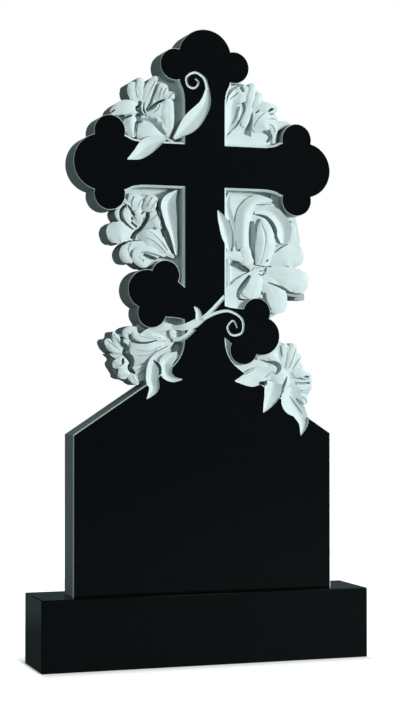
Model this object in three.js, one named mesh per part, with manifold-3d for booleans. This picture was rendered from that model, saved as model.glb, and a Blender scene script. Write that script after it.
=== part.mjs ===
// A headstone in polished black stone: a cross with trefoil ends and a slanted lower bar rises from
// a gabled panel, with lilies carved in the corners between the arms, all from one slab on a plinth.
// Millimetres, +Z up, +Y to the back; the origin is the middle of the plinth's underside.
import * as THREE from "three";
import { mergeVertices } from "three/addons/utils/BufferGeometryUtils.js";
import Module from "manifold-3d";

const wasm = await Module();
wasm.setup();

// Driving dimensions
const PLINTH = { width: 725, depth: 150, height: 150, chamfer: 1.5 };
const STELE = { width: 578, height: 1200, thickness: 70 };
const SETBACK = 30; // the stele's face stands this far behind the plinth's
const BED_GAP = 0.3; // bedding joint between stele and plinth
const CORNER_CHAMFER = 4.5; // along the post and the arms, where the carving meets them
const EDGE_CHAMFER = 1; // along the lobes and the slanted bar
const GABLE_CHAMFER = 2; // round the panel
const GROUND_DEPTH = 33; // floor of the carved corners, below the polished face

// The cross: one arm profile serves the two sides and the top, a smaller one the slanted bar.
// A profile runs from the middle of the cross outwards: `neck` is [distance, half width].
const POST_HALF = 49.2;
const POST_FOOT_Z = 680;
const CROSSING_Z = 1057.2;
const ARM = {
  tip: STELE.width / 2,
  neck: [[0, 49.3], [125, 49.3], [145, 50.3], [160, 53], [178, 60.5], [205, 60.5]],
  chamfer: CORNER_CHAMFER,
  lobe: 60,
  sideLobe: { radius: 34.2, back: 78.5, out: 66 },
};
const BAR = {
  tip: 179.5,
  neck: [[0, 31], [40, 31], [60, 34.5], [84, 41.5], [108, 41.5]],
  chamfer: EDGE_CHAMFER,
  lobe: 42,
  sideLobe: { radius: 31.6, back: 69.5, out: 43 },
};
const BAR_CENTRE_Z = 744;
const BAR_ANGLE = THREE.MathUtils.degToRad(-20.5);

// The panel below the cross
const SHOULDER_Z = 486.2;
const GABLE_SLOPE = 0.66;
const GABLE_END_X = 85; // the gable turns up into the post here
const FILLET_TOP_Z = 690;
const PANEL_NECK_HALF = 46.7;

// Fineness of the facets
const LOBE_SIDES = 12; // per half turn of curve
const BLADE_PITCH = 22;
const TENDRIL_PITCH = 9;
const CLEFT_PITCH = 30;
const FEWEST_STATIONS = 2;

// A petal rounds off over the last stretch of its spine, to this part of its width
const ROUND_FROM = 0.84;
const ROUND_TO = 0.45;

// Planes that follow from the sizes above
const FACE_Y = -PLINTH.depth / 2 + SETBACK;
const BACK_Y = FACE_Y + STELE.thickness;
const BASE_Z = PLINTH.height + BED_GAP;
const TOP_Z = PLINTH.height + STELE.height;
const OVERRUN = 6; // pieces run this far past the trimmed planes

// A leaf: its spine on the face as [x, z] points, its half widths and its depths below the face along
// the spine, and how much deeper (or shallower, below zero) its edges are than its spine.
const leaf = (name, spine, half, depth, cup) => ({ name, spine, half, depth, cup, pitch: BLADE_PITCH });
// A petal, cut out of the depth of the corner and rounded at its end
const petal = (...values) => ({ ...leaf(...values), isRounded: true });
// A leaf that runs on over the polished face, sunk into it
const sunk = (...values) => ({ ...leaf(...values), isSunk: true });
const tendril = (...values) => ({ ...sunk(...values), pitch: TENDRIL_PITCH });
// A step of stone left behind a petal's edge
const backing = leaf;
// The stone that petals grow out of, at its depth below the face
const bed = (depth, outline) => ({ depth, outline });
// A cleft between petals, deepest along its spine
const slot = (name, spine, half, depth) => ({
  ...leaf(name, spine, half, [depth, depth], -depth / 2),
  pitch: CLEFT_PITCH,
});

const UPPER_LEFT_LILY = {
  ground: [[-40, 1095], [-40, 1250], [-95, 1250], [-122, 1230], [-150, 1212], [-185, 1168], [-185, 1095]],
  beds: [
    bed(17, [[-188, 1173], [-170, 1186], [-150, 1192], [-154, 1222], [-138, 1232], [-122, 1230],
      [-108, 1236], [-96, 1230], [-78, 1224], [-70, 1205], [-70, 1160], [-76, 1122], [-114, 1112],
      [-144, 1114], [-165, 1126], [-168, 1155]]),
  ],
  blades: [
    petal("left petal", [[-140, 1174], [-172, 1177], [-207, 1163]], [9, 14, 14, 5], [14, 8, 12], 3),
    petal("lower left petal", [[-156, 1164], [-162, 1140], [-155, 1113]], [8, 15, 13, 5], [13, 7, 10], 8),
    petal("upper left petal", [[-146, 1184], [-156, 1206], [-160, 1230]], [7, 11, 12, 8], [18, 9, 8], 3),
    petal("upper middle petal", [[-140, 1186], [-141, 1212], [-142, 1240]], [6, 8, 10, 9], [18, 10, 8],
      3),
    petal("upper petal", [[-128, 1184], [-124, 1212], [-106, 1244]], [9, 11, 10, 6], [20, 9, 6], 2),
    petal("upper right petal", [[-106, 1198], [-95, 1212], [-90, 1231]], [8, 11, 13, 10], [16, 9, 9], 2),
    petal("upper right curl", [[-100, 1200], [-82, 1205], [-64, 1205]], [7, 11, 10, 6], [16, 10, 10], 2),
    petal("right petal", [[-76, 1117], [-80, 1156], [-80, 1198]], [3, 13, 14, 13], [18, 7, 8], 3),
    petal("right inner fold", [[-127, 1163], [-106, 1170], [-86, 1180]], [3, 10, 17, 14], [14, 9, 9], 3),
    petal("right lower fold", [[-118, 1158], [-100, 1150], [-84, 1128]], [3, 9, 10, 4], [13, 10, 12], 3),
    petal("lower petal", [[-85, 1117], [-118, 1126], [-147, 1130]], [4, 15, 21, 20], [15, 9, 11], 3),
    petal("stalk", [[-84, 1119], [-72, 1112], [-60, 1102]], [3, 3, 3], [20, 18, 20], 1),
    sunk("arm leaf", [[-86, 1116], [-124, 1097], [-147, 1078], [-172, 1065]], [5, 17, 13, 1],
      [9, 11, 9, 1.5], -9),
    sunk("post leaf", [[-66, 1114], [-32, 1148], [-1, 1188], [6, 1224]], [3, 19, 13, 4], [10, 11, 9, 3],
      -9),
    tendril("post tendril", [[6, 1220], [-1, 1244], [-22, 1256], [-41, 1245], [-38, 1227], [-23, 1223],
      [-14, 1235], [-22, 1243]], [4, 2.6, 2.4, 2.2, 1.6], [2.5, 2.5], -1),
  ],
  slots: [
    slot("throat", [[-141, 1192], [-139, 1183], [-148, 1175], [-138, 1167], [-147, 1159], [-138, 1151],
      [-149, 1142], [-153, 1117]], [3, 4.5, 4, 5, 4, 5, 3.5, 1], 34),
    slot("cleft by the upper petal", [[-97, 1243], [-103, 1228], [-110, 1208], [-115, 1190],
      [-124, 1174]], [2.5, 4, 3.5, 3.5, 3], 34),
    slot("cleft over the right petal", [[-132, 1169], [-114, 1179], [-101, 1190], [-86, 1197]],
      [3, 5, 3, 2], 34),
    slot("cleft over the lower petal", [[-138, 1153], [-116, 1151], [-98, 1136], [-83, 1121]],
      [2, 5.5, 5.5, 2.5], 26),
    slot("cleft under the left petal", [[-182, 1149], [-172, 1155], [-158, 1160]], [4, 3, 1.5], 30),
  ],
};
const UPPER_RIGHT_LILY = {
  ground: [[40, 1095], [40, 1250], [80, 1250], [118, 1236], [140, 1205], [170, 1190], [180, 1168],
    [205, 1168], [205, 1095]],
  beds: [
    bed(17, [[46, 1100], [46, 1215], [60, 1236], [108, 1236], [128, 1228], [146, 1194], [164, 1180],
      [166, 1150], [168, 1122], [160, 1110], [140, 1100]]),
    bed(13, [[150, 1150], [158, 1130], [172, 1143], [206, 1159], [168, 1166], [150, 1166]]),
  ],
  blades: [
    petal("post side leaf", [[50, 1122], [62, 1158], [66, 1198], [80, 1230]], [3, 14, 14, 8],
      [12, 12, 12, 12], -6),
    petal("arched leaf", [[62, 1138], [82, 1164], [88, 1192]], [2, 7, 5, 3], [15, 13, 14], -4),
    petal("curled petal", [[60, 1210], [84, 1216], [106, 1228]], [9, 17, 17, 12], [11, 8, 8], 3),
    petal("filling petal", [[92, 1148], [100, 1170], [106, 1194]], [5, 9, 10, 8], [14, 11, 11], 2),
    petal("inner fold", [[98, 1180], [106, 1208], [112, 1242]], [8, 9, 10, 8], [14, 6, 6], 4),
    petal("outer fold", [[112, 1178], [121, 1200], [129, 1222]], [8, 9, 10, 6], [14, 8, 9], 3),
    petal("trumpet", [[112, 1144], [132, 1165], [163, 1178]], [11, 27, 24, 14], [14, 6, 10], 5),
    petal("upper trumpet", [[120, 1180], [142, 1190], [168, 1187]], [12, 14, 12, 8], [10, 6, 9], 3),
    petal("lip", [[142, 1160], [161, 1148], [163, 1112]], [9, 11, 8, 4], [9, 10, 14], 3),
  ],
  slots: [
    slot("cleft by the arched leaf", [[55, 1128], [70, 1143], [85, 1163], [95, 1187], [91, 1199]],
      [1.2, 1.8, 2.2, 2.6, 1.5], 24),
    slot("cleft by the trumpet", [[101, 1130], [107, 1150], [112, 1178]], [11, 5, 1], 34),
    slot("cleft under the lip", [[137, 1140], [150, 1136], [155, 1127], [148, 1117]], [2, 4.5, 4.5, 3],
      30),
    slot("mouth", [[147, 1182], [154, 1187], [161, 1190]], [1, 3.2, 1.2], 24),
    slot("curl", [[86, 1234], [91, 1222]], [3, 4, 2], 22),
  ],
};
const LOWER_LEFT_LILY = {
  ground: [[-40, 1020], [-200, 1020], [-185, 965], [-172, 940], [-160, 900], [-172, 872], [-150, 845],
    [-110, 830], [-40, 790]],
  beds: [
    bed(17, [[-186, 964], [-180, 982], [-146, 991], [-104, 989], [-98, 960], [-90, 924], [-68, 870],
      [-96, 864], [-106, 850], [-146, 848], [-176, 870], [-178, 884], [-160, 896], [-196, 894],
      [-204, 906], [-194, 924], [-182, 940]]),
  ],
  blades: [
    petal("left petal", [[-154, 907], [-184, 912], [-213, 902]], [10, 20, 23, 14], [16, 7, 11], 3),
    petal("ear of the cup", [[-184, 936], [-190, 952], [-180, 968]], [4, 6, 7, 4], [14, 10, 12], 2),
    petal("left of cup", [[-156, 922], [-171, 944], [-166, 966]], [3, 9, 9, 5], [18, 10, 11], 2),
    petal("middle of cup", [[-147, 924], [-142, 944], [-148, 960]], [4, 8, 9, 6], [20, 12, 12], 2),
    petal("right of cup", [[-134, 926], [-112, 939], [-97, 939]], [4, 14, 19, 17], [16, 8, 8], 3),
    petal("far ruffle", [[-158, 956], [-171, 968], [-179, 982]], [8, 13, 13, 7], [14, 10, 15], 3),
    petal("left ruffle", [[-150, 957], [-152, 976], [-145, 993]], [10, 15, 17, 12], [15, 9, 15], 3),
    petal("right ruffle", [[-126, 956], [-118, 974], [-105, 990]], [9, 13, 14, 9], [15, 9, 14], 3),
    petal("long leaf", [[-59, 1005], [-78, 978], [-76, 948], [-67, 908], [-60, 866]], [1, 16, 15, 8, 3],
      [12, 17, 17, 14, 14], -10),
    petal("tube", [[-148, 904], [-110, 898], [-66, 864]], [14, 19, 15, 3], [18, 8, 9, 14], 4),
    petal("scroll back", [[-64, 862], [-104, 879], [-150, 887], [-172, 876], [-173, 860], [-157, 849]],
      [3, 8, 9, 11, 11, 5], [16, 11, 10, 10, 10, 12], 3),
    petal("scroll curl", [[-84, 864], [-118, 876], [-144, 876], [-150, 860], [-134, 847], [-108, 851]],
      [3, 6, 7, 9, 9, 4], [14, 9, 9, 9, 10, 14], 2),
  ],
  slots: [
    slot("throat", [[-123, 957], [-125, 942], [-137, 922], [-150, 911], [-157, 898]], [3, 4, 4, 5, 7],
      36),
    slot("rim of the cup", [[-170, 971], [-182, 958], [-181, 942], [-170, 929], [-154, 918]],
      [1.5, 4, 4, 3, 1.5], 30),
    slot("bar of the cup", [[-168, 969], [-152, 948]], [2, 3.2, 2], 30),
    slot("upper heart", [[-158, 945], [-156, 938]], [2, 3.4, 2.4], 26),
    slot("lower heart", [[-160, 935], [-146, 924]], [2, 3.6, 2.4], 26),
    slot("upper cleft by the long leaf", [[-88, 997], [-99, 978], [-101, 957], [-97, 938]],
      [1.5, 4, 4, 1], 32),
    slot("lower cleft by the long leaf", [[-92, 922], [-79, 893], [-67, 869]], [3, 4.5, 2], 32),
    slot("scroll eye", [[-132, 867], [-116, 861], [-98, 856]], [2.5, 4.5, 2], 32),
  ],
};
const LOWER_RIGHT_LILY = {
  ground: [[40, 1020], [200, 1020], [222, 955], [232, 905], [225, 870], [210, 840], [212, 800],
    [192, 772], [178, 745], [160, 735], [40, 740]],
  beds: [
    bed(17, [[50, 884], [50, 998], [98, 998], [146, 995], [164, 982], [188, 960], [200, 930], [214, 900],
      [222, 870], [210, 848], [226, 815], [222, 796], [190, 794], [184, 766], [166, 746], [152, 752],
      [146, 776], [112, 784], [104, 800], [114, 832], [92, 856], [62, 864]]),
    bed(23, [[157, 977], [159, 1004], [184, 1004], [190, 972], [182, 960]]),
    bed(19, [[62, 806], [104, 834], [64, 836]]),
    bed(13, [[40, 766], [40, 792], [78, 810], [98, 790], [112, 770], [92, 746], [60, 748]]),
  ],
  blades: [
    petal("slender leaf", [[60, 1005], [53, 978], [58, 952], [68, 924], [70, 888]], [1, 7, 8, 6, 3],
      [12, 13, 13, 13, 13], -5),
    petal("inner arch", [[92, 882], [91, 930], [98, 966], [123, 987], [159, 990]], [14, 18, 17, 14, 4],
      [9, 6, 6, 8, 12], 8),
    petal("outer arch", [[118, 967], [155, 964], [181, 935], [185, 898]], [7, 14, 18, 13],
      [14, 15, 15, 15], -9),
    petal("back petal", [[192, 888], [206, 914], [207, 948]], [10, 12, 9, 4], [18, 15, 17], 2),
    petal("bud", [[134, 848], [142, 900], [134, 950]], [14, 23, 20, 6], [10, 5, 8], 5),
    petal("left petal", [[112, 850], [86, 866], [47, 868]], [11, 12, 10, 7], [12, 9, 10], 3),
    petal("bump of the left petal", [[99, 848], [97, 868], [95, 888]], [9, 13, 13, 11], [11, 8, 9], 3),
    petal("lower petal", [[129, 842], [115, 808], [103, 776]], [9, 18, 22, 18], [14, 8, 10], 3),
    petal("lower left petal", [[112, 835], [80, 806], [52, 776]], [3, 9, 15, 15], [12, 11, 13], 2),
    petal("post side fold", [[58, 862], [58, 828], [57, 790]], [13, 13, 13], [11, 11], 12),
    petal("upper right petal", [[144, 858], [186, 872], [230, 869]], [13, 22, 25, 20], [13, 7, 9], 3),
    petal("right petal", [[144, 834], [194, 823], [240, 807]], [11, 21, 26, 22], [13, 6, 8], 3),
    petal("lower right petal", [[132, 826], [164, 790], [172, 745]], [14, 23, 24, 16], [13, 7, 9], 3),
    backing("upper step", [[194, 794], [225, 788]], [8, 8], [21, 21], 0),
    backing("lower step", [[216, 783], [238, 783]], [7, 7], [25, 25], 0),
    sunk("post leaf", [[58, 882], [47, 926], [29, 964]], [5, 14, 11, 1], [12, 11, 2], -8),
  ],
  slots: [
    slot("cleft by the bud", [[112, 944], [113, 918], [112, 890], [117, 866], [118, 850]],
      [6, 9, 6, 2.4, 1.2], 34),
    slot("cleft under the outer arch", [[121, 959], [143, 954], [158, 940], [165, 922], [163, 906]],
      [1, 2.6, 3.4, 3.2, 1], 32),
    slot("cleft by the slender leaf", [[58, 946], [66, 915], [67, 878]], [1.5, 3.2, 2.6], 32),
    slot("cleft under the left petal", [[62, 852], [82, 846], [104, 837]], [3, 7, 3], 36),
    slot("cleft by the lower petal", [[107, 827], [92, 806], [81, 789], [83, 776], [98, 774]],
      [3, 6, 5, 3, 1], 36),
    slot("cleft under the right petal", [[148, 812], [180, 801], [198, 791]], [1.2, 3, 2.5], 30),
    slot("slit of the lower right petal", [[141, 790], [143, 772], [156, 752]], [2, 3.2, 1], 22),
  ],
};
const BOTTOM_LEFT_LILY = {
  ground: [[-40, 745], [-118, 745], [-150, 708], [-178, 698], [-196, 698], [-211, 684], [-203, 664],
    [-198, 645], [-198, 626], [-186, 608], [-165, 599], [-140, 592], [-100, 590], [-40, 620]],
  beds: [
    bed(17, [[-204, 688], [-194, 696], [-180, 698], [-156, 710], [-136, 694], [-86, 708], [-60, 718],
      [-58, 690], [-72, 668], [-126, 640], [-124, 604], [-146, 594], [-170, 608], [-190, 628],
      [-190, 650], [-204, 670]]),
    bed(15, [[-68, 682], [-40, 688], [-40, 717], [-68, 717]]),
  ],
  blades: [
    petal("upper mouth petal", [[-174, 660], [-189, 676], [-200, 702]], [8, 11, 9, 3], [16, 8, 10], 3),
    petal("left mouth petal", [[-172, 656], [-196, 667], [-217, 685]], [7, 12, 11, 6], [15, 9, 11], 3),
    petal("mouth tooth", [[-178, 648], [-194, 650], [-207, 656]], [4, 5, 3, 1], [16, 13, 14], 1),
    petal("lower mouth petal", [[-166, 643], [-184, 637], [-201, 631]], [8, 12, 11, 7], [16, 8, 11], 2),
    petal("low mouth petal", [[-163, 630], [-176, 618], [-180, 603]], [8, 12, 12, 8], [16, 9, 12], 2),
    petal("bottom petal", [[-164, 618], [-157, 605], [-144, 591]], [5, 9, 8, 3], [16, 10, 13], 2),
    petal("top curl", [[-164, 690], [-171, 701], [-154, 712]], [6, 9, 8, 4], [14, 8, 9], 2),
    petal("upper fold", [[-154, 713], [-151, 695], [-128, 687], [-100, 691], [-82, 684]], [5, 8, 8, 7, 3],
      [10, 7, 7, 8, 13], 2),
    petal("lens leaf", [[-142, 693], [-116, 702], [-86, 692]], [3, 8, 8, 3], [10, 9, 12], -3),
    petal("shoulder", [[-114, 706], [-86, 713], [-62, 712]], [5, 9, 8, 4], [14, 11, 13], 2),
    petal("body", [[-84, 676], [-122, 662], [-162, 655]], [8, 19, 28, 28], [12, 6, 11], 6),
    petal("lower body fold", [[-124, 642], [-138, 632], [-156, 622]], [4, 10, 13, 10], [12, 12, 14], 2),
    petal("calyx", [[-62, 713], [-69, 700], [-62, 685]], [4, 8, 7, 4], [14, 9, 14], 2),
    sunk("gable leaf", [[-76, 668], [-110, 641], [-117, 606], [-114, 583], [-129, 561]],
      [6, 12, 14, 11, 1], [10, 10, 10, 9, 1.5], -9),
    sunk("curled leaf", [[-58, 657], [-84, 640], [-86, 616], [-71, 603], [-50, 602]], [5, 15, 13, 7, 1],
      [10, 11, 10, 7, 1.5], -9),
    sunk("lower root", [[-68, 686], [-46, 691], [-24, 711]], [4, 5, 6], [12, 7, 4], -1),
    sunk("stem", [[-68, 712], [-46, 713], [-22, 721], [4, 738], [46, 781]], [4, 7, 9, 5, 4.5],
      [12, 5, 4, 4, 4], -2),
    sunk("stem leaf", [[-14, 728], [-15, 745], [-24, 757]], [7, 7, 5, 1], [4, 4, 1.5], -3),
    tendril("stem tendril", [[-4, 730], [26, 744], [56, 748], [84, 731], [84, 703], [62, 697], [51, 713],
      [64, 728], [73, 712]], [3.5, 2.8, 2.4, 2.2, 1.6], [2.5, 2.5], -1),
  ],
  slots: [
    slot("throat", [[-179, 692], [-180, 679], [-170, 669], [-175, 658], [-163, 648], [-158, 636],
      [-162, 625], [-150, 614]], [4, 5, 6, 5, 7, 5, 6, 2], 36),
    slot("cleft under the fold", [[-165, 696], [-156, 682], [-130, 679], [-104, 685]], [2.5, 2.5, 2, 1],
      24),
    slot("mouth", [[-178, 647], [-179, 634]], [2, 3.6, 2.4], 28),
    slot("notch of the mouth", [[-203, 626], [-192, 618]], [2, 3.4, 1.5], 30),
    slot("cleft between the leaves", [[-112, 643], [-100, 628], [-98, 613]], [1, 4, 2.5], 34),
  ],
};
const BOTTOM_RIGHT_LILY = {
  ground: [[40, 700], [40, 625], [90, 598], [176, 555], [236, 522], [240, 560], [244, 612], [228, 640],
    [214, 672], [176, 680], [120, 672]],
  beds: [
    bed(17, [[82, 622], [112, 644], [128, 656], [150, 664], [156, 690], [184, 682], [204, 676],
      [216, 650], [226, 624], [246, 618], [252, 602], [252, 584], [243, 568], [237, 548], [222, 532],
      [192, 560], [168, 580], [144, 600], [112, 610]]),
    bed(11, [[120, 652], [150, 664], [156, 690], [178, 684], [178, 650], [150, 640]]),
    bed(9, [[40, 698], [66, 684], [60, 662], [68, 646], [86, 636], [112, 642], [112, 612], [82, 614],
      [58, 628], [44, 652]]),
  ],
  blades: [
    petal("upper left petal", [[122, 648], [150, 654], [177, 636]], [4, 9, 10, 8], [12, 8, 9], 3),
    petal("left filling petal", [[82, 622], [112, 633], [148, 627]], [3, 9, 12, 8], [13, 11, 11], 2),
    petal("left of crown", [[178, 612], [182, 645], [186, 680]], [10, 11, 12, 10], [11, 8, 9], 4),
    petal("middle of crown", [[190, 614], [199, 646], [207, 680]], [10, 11, 12, 10], [11, 7, 9], 4),
    petal("right of crown", [[198, 618], [211, 640], [220, 658]], [8, 11, 12, 9], [13, 10, 12], 3),
    petal("back petal", [[202, 640], [216, 632], [232, 626]], [10, 12, 9, 4], [16, 14, 16], 2),
    petal("heart", [[142, 620], [173, 610], [184, 578]], [12, 21, 21, 12], [10, 6, 9], 4),
    petal("upper mouth petal", [[196, 613], [222, 615], [247, 607]], [10, 9, 9, 6], [12, 8, 11], 2),
    petal("middle mouth petal", [[194, 592], [222, 589], [250, 588]], [10, 10, 10, 8], [12, 8, 11], 2),
    petal("lower mouth petal", [[188, 576], [215, 566], [240, 552]], [11, 12, 11, 7], [12, 8, 11], 3),
    petal("lower petal", [[188, 580], [205, 556], [225, 536]], [14, 16, 14, 9], [10, 8, 11], 3),
    sunk("left leaf", [[152, 614], [129, 613], [105, 604], [68, 598.5]], [12, 17, 18, 1], [9, 9, 7, 1.5],
      -5),
    sunk("middle leaf", [[160, 596], [151, 564], [133, 531]], [17, 20, 12, 1], [10, 11, 1.5], -9),
    sunk("right leaf", [[200, 580], [201, 553], [217, 531], [226, 509], [220, 481]], [20, 26, 17, 12, 1],
      [9, 9, 10, 9, 1.5], -8),
  ],
  slots: [
    slot("cleft under the upper left petal", [[142, 641], [162, 638], [173, 628], [165, 613]],
      [1.5, 4.5, 5.5, 2], 30),
    slot("cleft between the leaves", [[124, 595], [143, 593]], [2.5, 4.5, 2], 18),
    slot("slit of the heart", [[191, 609], [184, 590], [177, 573]], [1, 3.4, 3], 28),
    slot("upper mouth", [[230, 608], [243, 608]], [1.5, 3, 2], 19),
    slot("middle mouth", [[212, 595], [230, 594], [246, 595]], [1, 2.8, 2.2], 20),
    slot("lower mouth", [[218, 576], [234, 574], [246, 573]], [1, 2.2, 1.6], 19),
  ],
};

const LILIES = [UPPER_LEFT_LILY, UPPER_RIGHT_LILY, LOWER_LEFT_LILY, LOWER_RIGHT_LILY, BOTTOM_LEFT_LILY,
  BOTTOM_RIGHT_LILY];

// A closed geometry as a solid that can be joined and cut
function solidOf(geometry) {
  geometry.deleteAttribute("normal");
  geometry.deleteAttribute("uv");
  const closed = mergeVertices(geometry, 1e-4);
  return new wasm.Manifold(new wasm.Mesh({
    numProp: 3,
    vertProperties: new Float32Array(closed.attributes.position.array),
    triVerts: new Uint32Array(closed.index.array),
  }));
}

function geometryOf(solid) {
  const { vertProperties, triVerts } = solid.getMesh();
  const geometry = new THREE.BufferGeometry();
  geometry.setAttribute("position", new THREE.BufferAttribute(vertProperties, 3));
  geometry.setIndex(new THREE.BufferAttribute(triVerts, 1));
  geometry.computeVertexNormals();
  return geometry;
}

const joined = (solids) => solids.reduce((whole, solid) => whole.add(solid));

// A shape drawn on the face as x, z, extruded back from `depth` below the face past the back
function extrudedBack(shape, depth, chamfer) {
  const frontY = FACE_Y + depth;
  const thickness = BACK_Y + OVERRUN - frontY;
  const geometry = new THREE.ExtrudeGeometry(shape, {
    depth: thickness - 2 * chamfer,
    curveSegments: LOBE_SIDES,
    bevelEnabled: chamfer > 0,
    bevelThickness: chamfer,
    bevelSize: chamfer,
    bevelOffset: -chamfer,
    bevelSegments: 1,
  });
  geometry.rotateX(Math.PI / 2);
  geometry.translate(0, frontY + thickness - chamfer, 0);
  return solidOf(geometry);
}

const slab = (shape, chamfer) => extrudedBack(shape, 0, chamfer);
const polygon = (points) => new THREE.Shape(points.map(([x, z]) => new THREE.Vector2(x, z)));

function disc(centre, radius) {
  const shape = new THREE.Shape();
  shape.absarc(centre.x, centre.y, radius, 0, 2 * Math.PI);
  return slab(shape, EDGE_CHAMFER);
}

// One arm from the middle of the cross to its trefoil end, at `angle` from +X about `centre`
function arm({ tip, neck, chamfer, lobe, sideLobe }, centre, angle) {
  const place = (distance, across) => {
    const point = new THREE.Vector2(distance, across);
    return point.rotateAround(new THREE.Vector2(), angle).add(centre);
  };
  const upperEdge = neck.map(([distance, half]) => place(distance, half));
  const lowerEdge = neck.map(([distance, half]) => place(distance, -half)).reverse();
  const sideDiscs = [1, -1].map((side) =>
    disc(place(tip - sideLobe.back, side * sideLobe.out), sideLobe.radius));
  return joined([
    slab(new THREE.Shape([...lowerEdge, ...upperEdge]), chamfer),
    disc(place(tip - lobe, 0), lobe),
    ...sideDiscs,
  ]);
}

function panel() {
  const half = STELE.width / 2;
  const filletZ = SHOULDER_Z + GABLE_SLOPE * (half - GABLE_END_X);
  const reach = 0.6 * (GABLE_END_X - PANEL_NECK_HALF);
  const leaveX = GABLE_END_X - reach;
  const leaveZ = filletZ + reach * GABLE_SLOPE;
  const arriveZ = (filletZ + FILLET_TOP_Z) / 2;
  const shape = new THREE.Shape();
  shape.moveTo(-half, BASE_Z - OVERRUN);
  shape.lineTo(half, BASE_Z - OVERRUN);
  shape.lineTo(half, SHOULDER_Z);
  shape.lineTo(GABLE_END_X, filletZ);
  shape.bezierCurveTo(leaveX, leaveZ, PANEL_NECK_HALF, arriveZ, PANEL_NECK_HALF, FILLET_TOP_Z);
  shape.lineTo(-PANEL_NECK_HALF, FILLET_TOP_Z);
  shape.bezierCurveTo(-PANEL_NECK_HALF, arriveZ, -leaveX, leaveZ, -GABLE_END_X, filletZ);
  shape.lineTo(-half, SHOULDER_Z);
  shape.closePath();
  return slab(shape, GABLE_CHAMFER);
}

// A smooth value between the given ones, at `t` from 0 to 1
function along(values, t) {
  return new THREE.SplineCurve(values.map((value, i) => new THREE.Vector2(i, value))).getPoint(t).y;
}

// The part of its width that a rounded petal still has at `t`
function rounding(t) {
  const end = Math.max(0, (t - ROUND_FROM) / (1 - ROUND_FROM));
  return Math.sqrt(1 - (1 - ROUND_TO * ROUND_TO) * end * end);
}

// A blade's surface as the front (or, for a cutter, the back) of a bar bent along its spine
function bladeSolid({ spine, half, depth, cup, pitch, isRounded }, isCutter) {
  const curve = new THREE.SplineCurve(spine.map(([x, z]) => new THREE.Vector2(x, z)));
  const stations = Math.max(FEWEST_STATIONS, Math.round(curve.getLength() / pitch));
  const widest = Math.max(...half);
  const bar = new THREE.BoxGeometry(1, 1, 1, stations, 1, 2);
  const corners = bar.attributes.position;
  for (let i = 0; i < corners.count; i += 1) {
    const t = corners.getX(i) + 0.5;
    const side = corners.getZ(i) * 2;
    const isFront = corners.getY(i) < 0;
    const middle = curve.getPoint(t);
    const tangent = curve.getTangent(t);
    const reach = along(half, t) * (isRounded ? rounding(t) : 1);
    const surface = FACE_Y + along(depth, t) + cup * (reach / widest) * side * side;
    const frontY = isCutter ? FACE_Y - OVERRUN : surface;
    const backY = isCutter ? surface : BACK_Y + OVERRUN;
    corners.setXYZ(i, middle.x - tangent.y * reach * side, isFront ? frontY : backY,
      middle.y + tangent.x * reach * side);
  }
  return solidOf(bar);
}

function polishedCross() {
  const crossing = new THREE.Vector2(0, CROSSING_Z);
  const barCentre = new THREE.Vector2(0, BAR_CENTRE_Z);
  const postTop = CROSSING_Z + POST_HALF;
  const post = [[-POST_HALF, POST_FOOT_Z], [POST_HALF, POST_FOOT_Z], [POST_HALF, postTop],
    [-POST_HALF, postTop]];
  return joined([
    slab(polygon(post), CORNER_CHAMFER),
    arm(ARM, crossing, 0),
    arm(ARM, crossing, Math.PI),
    arm({ ...ARM, tip: TOP_Z - CROSSING_Z }, crossing, Math.PI / 2),
    arm(BAR, barCentre, BAR_ANGLE),
    arm(BAR, barCentre, BAR_ANGLE + Math.PI),
    panel(),
  ]);
}

function trimBlock() {
  const depth = STELE.thickness + OVERRUN;
  const height = STELE.height + OVERRUN;
  const block = new THREE.BoxGeometry(2 * STELE.width, depth, height);
  return solidOf(block.translate(0, BACK_Y - depth / 2, BASE_Z + height / 2));
}

function stele() {
  const blades = LILIES.flatMap((lily) => lily.blades);
  const sinkings = blades.filter((blade) => blade.isSunk).map((blade) => bladeSolid(blade, true));
  const grounds = LILIES.map((lily) => extrudedBack(polygon(lily.ground), GROUND_DEPTH, 0));
  const beds = LILIES.flatMap((lily) => lily.beds)
    .map(({ depth, outline }) => extrudedBack(polygon(outline), depth, 0));
  const carving = blades.map((blade) => bladeSolid(blade, false));
  const slots = LILIES.flatMap((lily) => lily.slots).map((cleft) => bladeSolid(cleft, true));
  return polishedCross()
    .subtract(joined(sinkings))
    .add(joined([...grounds, ...beds, ...carving]))
    .subtract(joined(slots))
    .intersect(trimBlock());
}

function plinth() {
  const { width, depth, height, chamfer } = PLINTH;
  const outline = polygon([[-width / 2, -depth / 2], [width / 2, -depth / 2], [width / 2, depth / 2],
    [-width / 2, depth / 2]]);
  return new THREE.ExtrudeGeometry(outline, {
    depth: height - 2 * chamfer,
    bevelThickness: chamfer,
    bevelSize: chamfer,
    bevelOffset: -chamfer,
    bevelSegments: 1,
  }).translate(0, 0, chamfer);
}

const polishedStone = { color: 0x0c1012, roughness: 0.12, metalness: 0 };

function piece(name, geometry) {
  const mesh = new THREE.Mesh(geometry, new THREE.MeshStandardMaterial(polishedStone));
  mesh.name = name;
  return mesh;
}

const group = new THREE.Group();
group.add(piece("stele", geometryOf(stele())));
group.add(piece("plinth", plinth()));

export default group;
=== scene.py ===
"""The looks of a headstone: a trefoil cross on a gabled panel, carved with lilies, on a plinth.

The stele is built again in fine mesh from the sizes of its solid: polished slabs with ground
arrises, sunk leaves and tendrils, and petals cut out of the depth of the stone.
"""

import math

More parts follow.
